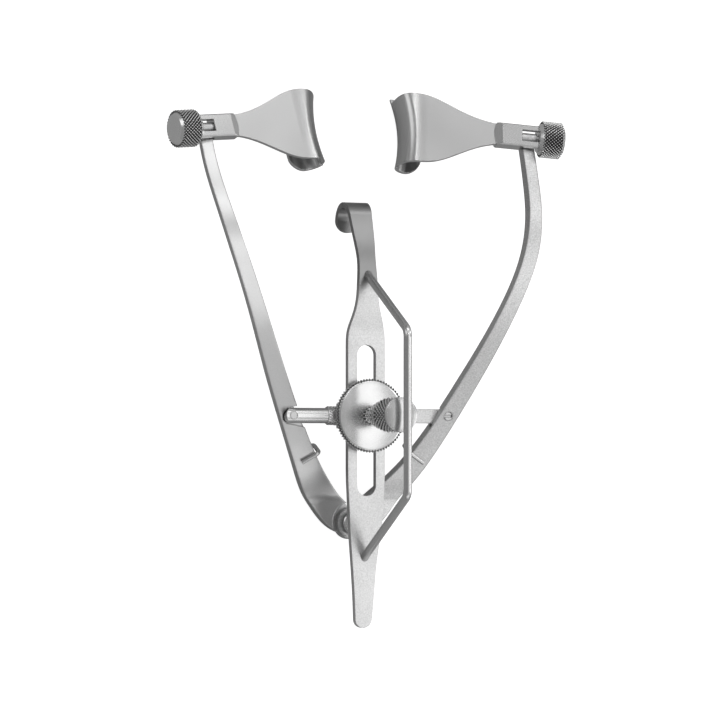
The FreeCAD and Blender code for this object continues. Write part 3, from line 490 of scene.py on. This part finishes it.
def knurl_tree():
    """Diamonds on rings round Z. The rings are the points of a profile line in the XZ plane."""
    tree, given, out = group(
        "Diamond knurl", "GeometryNodeTree",
        {
            "Geometry": "Geometry",
            "Count": "Int",
            "Radius": "Float",
            "Depth": "Float",
            "Stretch": "Float",
            "Material": "Material",
        },
        {"Geometry": "Geometry"},
    )
    line = node(tree, "GeometryNodeMeshToCurve", {"Mesh": given["Geometry"]})
    rings = node(tree, "GeometryNodeCurveToPoints", {"Curve": line.outputs[0]}, mode="EVALUATED")
    row = node(tree, "GeometryNodeCaptureAttribute", {"Geometry": rings.outputs["Points"]})
    row.capture_items.new("INT", "Row")
    feed(tree, row.inputs["Row"], node(tree, "GeometryNodeInputIndex").outputs[0])
    copies = node(
        tree, "GeometryNodeDuplicateElements",
        {"Geometry": row.outputs["Geometry"], "Amount": given["Count"]}, domain="POINT",
    )

    # Every second ring is turned by half a diamond
    shift = calc(tree, "MULTIPLY", calc(tree, "MODULO", row.outputs["Row"], 2.0), 0.5)
    place = calc(tree, "ADD", copies.outputs["Duplicate Index"], shift)
    step = calc(tree, "DIVIDE", 2 * pi, given["Count"])
    angle = calc(tree, "MULTIPLY", place, step)

    # A diamond stands square on the profile, its foot sunk under the surface
    position = node(tree, "GeometryNodeInputPosition").outputs[0]
    run = rings.outputs["Tangent"]
    climb = calc(tree, "SIGN", node(tree, "ShaderNodeSeparateXYZ", {"Vector": run}).outputs["Z"])
    upward = scaled(tree, run, climb)
    outward = vector_calc(tree, "CROSS_PRODUCT", (0, 1, 0), upward)
    inside = vector_calc(tree, "ADD", position, scaled(tree, outward, -DIAMOND_SINK))
    turned = node(
        tree, "ShaderNodeVectorRotate", {"Vector": inside, "Angle": angle, "Axis": (0, 0, 1)},
    )
    frame_of = node(
        tree, "FunctionNodeAxesToRotation", {"Primary Axis": outward, "Secondary Axis": upward},
        primary_axis="Z", secondary_axis="X",
    )
    about_z = node(tree, "FunctionNodeAxisAngleToRotation", {"Axis": (0, 0, 1), "Angle": angle})
    facing = node(
        tree, "FunctionNodeRotateRotation",
        {"Rotation": frame_of.outputs[0], "Rotate By": about_z.outputs[0]},
        rotation_space="GLOBAL",
    )

    # It fills its step round the axis, and stands lower where the piece is thinner
    radius = vector_calc(tree, "LENGTH", vector_calc(tree, "MULTIPLY", position, (1, 1, 0)))
    half = calc(tree, "MULTIPLY", calc(tree, "MULTIPLY", step, radius), 0.5)
    share = calc(tree, "DIVIDE", radius, given["Radius"])
    size = node(
        tree, "ShaderNodeCombineXYZ",
        {
            "X": calc(tree, "MULTIPLY", half, given["Stretch"]),
            "Y": half,
            "Z": calc(tree, "ADD", DIAMOND_SINK, calc(tree, "MULTIPLY", given["Depth"], share)),
        },
    )
    diamond = node(
        tree, "GeometryNodeMeshCone",
        {"Vertices": 4, "Radius Top": DIAMOND_TOP, "Radius Bottom": 1.0, "Depth": 1.0},
    )
    # The height of each point of a diamond, which the knurled steel turns into painted shade low in
    # the grooves
    height = node(tree, "ShaderNodeSeparateXYZ", {"Vector": position}).outputs["Z"]
    marked = node(
        tree, "GeometryNodeStoreNamedAttribute",
        {"Geometry": diamond.outputs["Mesh"], "Name": "height", "Value": height},
        data_type="FLOAT", domain="POINT",
    )
    moved = node(
        tree, "GeometryNodeSetPosition",
        {"Geometry": copies.outputs["Geometry"], "Position": turned.outputs[0]},
    )
    set_out = node(
        tree, "GeometryNodeInstanceOnPoints",
        {
            "Points": moved.outputs[0],
            "Instance": marked.outputs[0],
            "Rotation": facing.outputs[0],
            "Scale": size.outputs[0],
        },
    )
    real = node(tree, "GeometryNodeRealizeInstances", {"Geometry": set_out.outputs[0]})
    coated = node(
        tree, "GeometryNodeSetMaterial",
        {"Geometry": real.outputs[0], "Material": given["Material"]},
    )
    feed(tree, out["Geometry"], coated.outputs[0])
    return tree


KNURL = knurl_tree()


def ring_line(start, end, count, stretch=DIAMOND_STRETCH):
    """The rings from start to end, each (radius, height), spaced as the diamonds there need."""
    start, end = Vector(start), Vector(end)
    run = end - start
    places = []
    gone = 0.0
    while gone <= 1:
        here = start + run * gone
        places.append(here)
        gone += pi * here.x / count * stretch / run.length
    left = 1 - (places[-1] - start).length / run.length
    for i, place in enumerate(places):
        places[i] = place + run * (left * (i + 0.5) / len(places))
    return places


def knurl(rings, count, reference, depth, stretch=DIAMOND_STRETCH):
    """A mesh of the diamonds on those rings, which stand out by depth at the reference radius."""
    mesh = bpy.data.meshes.new("rings")
    edges = [(i, i + 1) for i in range(len(rings) - 1)]
    mesh.from_pydata([(r, 0, z) for r, z in rings], edges, [])
    holder = bpy.data.objects.new("rings", mesh)
    bpy.context.scene.collection.objects.link(holder)
    values = {
        "Count": count,
        "Radius": reference,
        "Depth": depth,
        "Stretch": stretch,
        "Material": KNURLED,
    }
    modifier = holder.modifiers.new("Knurl", "NODES")
    modifier.node_group = KNURL
    for item in KNURL.interface.items_tree:
        if item.in_out == "INPUT" and item.name in values:
            modifier[item.identifier] = values[item.name]
    depsgraph = bpy.context.evaluated_depsgraph_get()
    made = bpy.data.meshes.new_from_object(holder.evaluated_get(depsgraph), depsgraph=depsgraph)
    holder.modifiers.remove(modifier)
    bpy.data.objects.remove(holder)
    # The nodes leave an empty slot beside the material's own
    made.materials.clear()
    made.materials.append(KNURLED)
    for face in made.polygons:
        face.material_index = 0
    return made


# Turned bodies

def rounded(corners):
    """A profile through corners (radius, height). A third value replaces a corner by an arc of
    that radius."""
    points = []
    for i, (r, z, *rounding) in enumerate(corners):
        here = Vector((r, z))
        if not rounding:
            points.append(here)
            continue
        radius = rounding[0]
        back = (Vector(corners[i - 1][:2]) - here).normalized()
        ahead = (Vector(corners[i + 1][:2]) - here).normalized()
        half = back.angle(ahead) / 2
        middle = here + (back + ahead).normalized() * (radius / sin(half))
        first = here + back * (radius * cos(half) / sin(half))
        last = here + ahead * (radius * cos(half) / sin(half))
        for k in range(CORNER_STEPS + 1):
            mix = first.lerp(last, k / CORNER_STEPS)
            points.append(middle + (mix - middle).normalized() * radius)
    return points


def bowed(rim, centre):
    """The profile of a domed end, steepest at its rim and flat at its centre."""
    points = []
    for k in range(FACE_STEPS + 1):
        share = k / FACE_STEPS
        r = rim[0] + (centre[0] - rim[0]) * share
        rise = 1 - (1 - share) ** 2
        points.append(Vector((r, rim[1] + (centre[1] - rim[1]) * rise)))
    return points


def lathe(profile, turned, is_knurled):
    """A mesh turned round Z from a profile, of turned steel, or knurled steel where
    is_knurled(radius, height) says so. The profile runs with the metal on its left, so that the
    faces point outwards."""
    shape = bmesh.new()
    height = shape.verts.layers.float.new("height")
    rings = []
    for r, z in profile:
        if r < ON_AXIS:
            rings.append([shape.verts.new((0, 0, z))] * LATHE_STEPS)
        else:
            turns = [2 * pi * k / LATHE_STEPS for k in range(LATHE_STEPS)]
            rings.append([shape.verts.new((r * cos(a), r * sin(a), z)) for a in turns])
    for low, high, (r0, z0), (r1, z1) in zip(rings, rings[1:], profile, profile[1:]):
        slot = int(is_knurled((r0 + r1) / 2, (z0 + z1) / 2))
        for k in range(LATHE_STEPS):
            n = (k + 1) % LATHE_STEPS
            # On the axis two of the four corners are one
            corners = [low[k], low[n], high[n], high[k]]
            corners = [v for i, v in enumerate(corners) if v not in corners[:i]]
            if len(corners) > 2:
                made = shape.faces.new(corners)
                made.material_index = slot
                made.smooth = True
                # Faces under the diamonds keep height 0, so the knurled steel gives them its
                # darkest painted shade
                if slot == 0:
                    for v in corners:
                        v[height] = 1.0
    mesh = bpy.data.meshes.new("turned")
    shape.to_mesh(mesh)
    shape.free()
    mesh.materials.append(turned)
    mesh.materials.append(KNURLED)
    return mesh


def joined(name, meshes, place):
    """One object of several meshes, put in its place in the mesh itself."""
    parts = [bpy.data.objects.new(name, m) for m in meshes]
    for part in parts:
        bpy.context.scene.collection.objects.link(part)
    bpy.context.view_layer.update()
    with bpy.context.temp_override(
        active_object=parts[0], object=parts[0], selected_objects=parts,
        selected_editable_objects=parts,
    ):
        bpy.ops.object.join()
    made = parts[0]
    made.name = name
    made.data.transform(place)
    return made


def along(centre, axis):
    """The place of a piece turned round Z, put on that axis line."""
    return Matrix.Translation(centre) @ axis.to_track_quat("Z", "Y").to_matrix().to_4x4()


def cleared_below(mesh, place, floor):
    """The diamonds without those that would reach under that height once in place."""
    shape = bmesh.new()
    shape.from_mesh(mesh)
    under = {v for v in shape.verts if (place @ v.co).z < floor}
    grown = under | {e.other_vert(v) for v in under for e in v.link_edges}
    grown |= {e.other_vert(v) for v in grown for e in v.link_edges}
    bmesh.ops.delete(shape, geom=list(grown), context="VERTS")
    shape.to_mesh(mesh)
    shape.free()
    return mesh


# Knurled pieces

def side_knob(side):
    node_name = f"{side}_blade_knob"
    centre, axis = joint_line(node_name)
    reach = span(node_name, centre, axis)
    if abs(reach[0]) > abs(reach[1]):
        axis, reach = -axis, (-reach[1], -reach[0])
    start, end = reach
    core = radius_of(node_name, centre, axis) - SIDE_KNURL_DEPTH
    first, last = start + SIDE_KNOB_NECK, end - SIDE_KNOB_ROUND
    profile = rounded([
        (STUD_R, start),
        (SIDE_KNOB_NECK_R, start, EDGE_BREAK),
        (core, first, EDGE_BREAK),
        (core, last, SIDE_KNOB_EDGE),
        (core - SIDE_KNOB_ROUND, end, SIDE_KNOB_EDGE),
        (SIDE_KNOB_DIMPLE_R, end, SIDE_KNOB_EDGE),
        (0, end - SIDE_KNOB_DIMPLE),
    ])
    turned = turned_steel(
        f"turned steel {side} knob", tone=0.8, roughness=0.24,
        centre=centre, axis=axis, pitch=0.09 * MM, depth=0.004 * MM,
    )
    body = lathe(profile, turned, lambda r, z: first < z < last)
    rings = ring_line((core, first), (core, last), SIDE_KNURL_COUNT)
    diamonds = knurl(rings, SIDE_KNURL_COUNT, core, SIDE_KNURL_DEPTH)
    piece = joined(f"{side}_knob_knurled", [body, diamonds], along(centre, axis))
    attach(piece, node_name)
    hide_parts(node_name)


def wheel():
    low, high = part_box("lock_wheel")
    centre, outer = upright(low, high)
    core = outer - RIM_KNURL_DEPTH
    front = high.z - WHEEL_CROWN
    back = front - WHEEL_THICK
    first, last = back + WHEEL_EDGE, front - WHEEL_EDGE
    face = core - WHEEL_EDGE
    profile = rounded([
        (WHEEL_BORE_R, low.z),
        (WHEEL_HUB_R, low.z, EDGE_BREAK),
        (WHEEL_HUB_R, back),
        (face, back, EDGE_BREAK),
        (core, first, EDGE_BREAK),
        (core, last, EDGE_BREAK),
        (face, front),
    ])
    profile += bowed((face, front), (WHEEL_EYE_R, high.z))[1:]
    profile += [Vector((WHEEL_EYE_R, back))]
    turned = turned_steel(
        "turned steel wheel", tone=0.66, roughness=0.24,
        centre=centre, axis=(0, 0, 1), pitch=0.07 * MM, depth=0.004 * MM,
    )
    body = lathe(profile, turned, lambda r, z: r > core - ON_SKIN and first < z < last)
    rings = ring_line((core, first), (core, last), RIM_KNURL_COUNT, RIM_KNURL_STRETCH)
    diamonds = knurl(rings, RIM_KNURL_COUNT, core, RIM_KNURL_DEPTH, RIM_KNURL_STRETCH)
    piece = joined("wheel_turned", [body, diamonds], Matrix.Translation(centre))
    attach(piece, "lock_wheel")
    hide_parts("lock_wheel")


def knob():
    low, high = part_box("clamp_knob")
    centre, outer = upright(low, high)
    core = outer - CLAMP_KNURL_DEPTH
    neck = KNOB_NECK_R * core / outer
    barrel = high.z - KNOB_BARREL
    start = barrel - KNOB_FLARE
    rim = high.z - KNOB_CROWN
    end = rim - KNOB_RIM
    profile = rounded([
        (0, low.z),
        (neck, low.z),
        (neck, start, KNOB_FOOT_ROUND),
        (core, barrel, KNOB_SHOULDER_ROUND),
        (core, end),
        (outer, end, KNOB_RIM_ROUND),
        (outer, rim, EDGE_BREAK),
        (0, high.z),
    ])[:-1]
    profile += bowed(profile[-1], (0, high.z))[1:]
    turned = turned_steel(
        "turned steel knob", tone=0.6, roughness=0.22,
        centre=centre, axis=(0, 0, 1), pitch=0.08 * MM, depth=0.003 * MM,
    )
    meshes = [lathe(profile, turned, lambda r, z: start < z < end)]
    foot, shoulder, head = Vector((neck, start)), Vector((core, barrel)), Vector((core, end))
    bands = len(KNOB_FLARE_COUNTS)
    runs = [
        (foot.lerp(shoulder, i / bands), foot.lerp(shoulder, (i + 1) / bands), count)
        for i, count in enumerate(KNOB_FLARE_COUNTS)
    ]
    for first, last, count in runs + [(shoulder, head, CLAMP_KNURL_COUNT)]:
        rings = ring_line(first, last, count, CLAMP_KNURL_STRETCH)[1:]
        meshes.append(knurl(rings, count, last.x, CLAMP_KNURL_DEPTH, CLAMP_KNURL_STRETCH))
    piece = joined("clamp_knob_knurled", meshes, Matrix.Translation(centre))
    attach(piece, "clamp_knob")
    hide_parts("clamp_knob")


def collar():
    low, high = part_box("rod_collar")
    outer = (high.y - low.y) / 2
    centre = Vector((0, (low.y + high.y) / 2, high.z - outer))
    axis = Vector((1, 0, 0))
    core = min(outer - COLLAR_KNURL_DEPTH, centre.z - low.z)
    start, end = low.x, high.x
    first = start + COLLAR_RING
    profile = rounded([
        (COLLAR_BORE_R, start),
        (core, start, COLLAR_START_ROUND),
        (core, end, COLLAR_END_ROUND),
        (COLLAR_BORE_R, end),
        (COLLAR_BORE_R, start),
    ])
    turned = turned_steel(
        "turned steel collar", tone=0.66, roughness=0.2,
        centre=centre, axis=axis, pitch=0.08 * MM, depth=0.003 * MM,
    )
    body = lathe(profile, turned, lambda r, z: r > core - ON_SKIN and z > first)
    rings = ring_line((core, first), (core, end - COLLAR_END), COLLAR_KNURL_COUNT)
    diamonds = knurl(rings, COLLAR_KNURL_COUNT, core, COLLAR_KNURL_DEPTH)
    place = along(centre, axis)
    piece = joined("collar_knurled", [body, cleared_below(diamonds, place, low.z)], place)
    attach(piece, "crossbar")
    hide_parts("rod_collar")


for side in ("left", "right"):
    side_knob(side)
wheel()
knob()
collar()


# Studio

def softbox(name, place, target, size, watts):
    data = bpy.data.lights.new(name, "AREA")
    data.shape = "RECTANGLE"
    data.size, data.size_y = size
    data.energy = watts
    lamp = bpy.data.objects.new(name, data)
    bpy.context.scene.collection.objects.link(lamp)
    lamp.location = place
    lamp.rotation_mode = "QUATERNION"
    lamp.rotation_quaternion = (Vector(target) - Vector(place)).to_track_quat("-Z", "Y")


def floor():
    mesh = bpy.data.meshes.new("floor")
    corners = [(x * FLOOR_HALF, y * FLOOR_HALF, 0) for x, y in ((-1, -1), (1, -1), (1, 1), (-1, 1))]
    mesh.from_pydata(corners, [], [(0, 1, 2, 3)])
    made = bpy.data.objects.new("floor", mesh)
    bpy.context.scene.collection.objects.link(made)
    mesh.transform(Matrix.Translation((0, 0, -FLOOR_DROP)))
    pale = bpy.data.materials.new("pale floor")
    pale.use_nodes = True
    shader = pale.node_tree.nodes["Principled BSDF"].inputs
    shader["Base Color"].default_value = (FLOOR_TONE, FLOOR_TONE, FLOOR_TONE, 1)
    shader["Roughness"].default_value = 0.9
    shader["Specular IOR Level"].default_value = 0.1
    shader["Emission Color"].default_value = (FLOOR_GLOW, FLOOR_GLOW, FLOOR_GLOW, 1)
    seen = node(pale.node_tree, "ShaderNodeLightPath").outputs["Is Camera Ray"]
    feed(pale.node_tree, shader["Emission Strength"], seen)
    mesh.materials.append(pale)


def camera():
    data = bpy.data.cameras.new("camera")
    data.lens = CAMERA_LENS
    data.sensor_width = CAMERA_SENSOR
    data.clip_start = 0.05
    data.clip_end = 20
    back = CAMERA_RIGHT.cross(CAMERA_UP)
    view = Matrix((CAMERA_RIGHT, CAMERA_UP, back)).transposed().to_4x4()
    view.translation = CAMERA_AIM + back * CAMERA_AWAY
    made = bpy.data.objects.new("camera", data)
    bpy.context.scene.collection.objects.link(made)
    made.matrix_world = view
    bpy.context.scene.camera = made


def studio():
    world = bpy.data.worlds.new("studio")
    world.use_nodes = True
    tree = world.node_tree
    way = node(tree, "ShaderNodeTexCoord").outputs["Generated"]
    sky = node(
        tree, "ShaderNodeMapRange",
        {
            "Value": vector_calc(tree, "DOT_PRODUCT", way, WINDOW_WAY),
            "From Min": 0.0,
            "From Max": WINDOW_FULL,
            "To Min": WORLD_DIM,
            "To Max": WORLD_BRIGHT,
        },
        interpolation_type="SMOOTHSTEP",
    )
    feed(tree, tree.nodes["Background"].inputs["Color"], sky.outputs[0])
    scene = bpy.context.scene
    scene.world = world
    scene.view_settings.view_transform = "Standard"
    scene.view_settings.look = "None"
    for name, settings in SOFTBOXES.items():
        softbox(name, *settings)


floor()
camera()
studio()
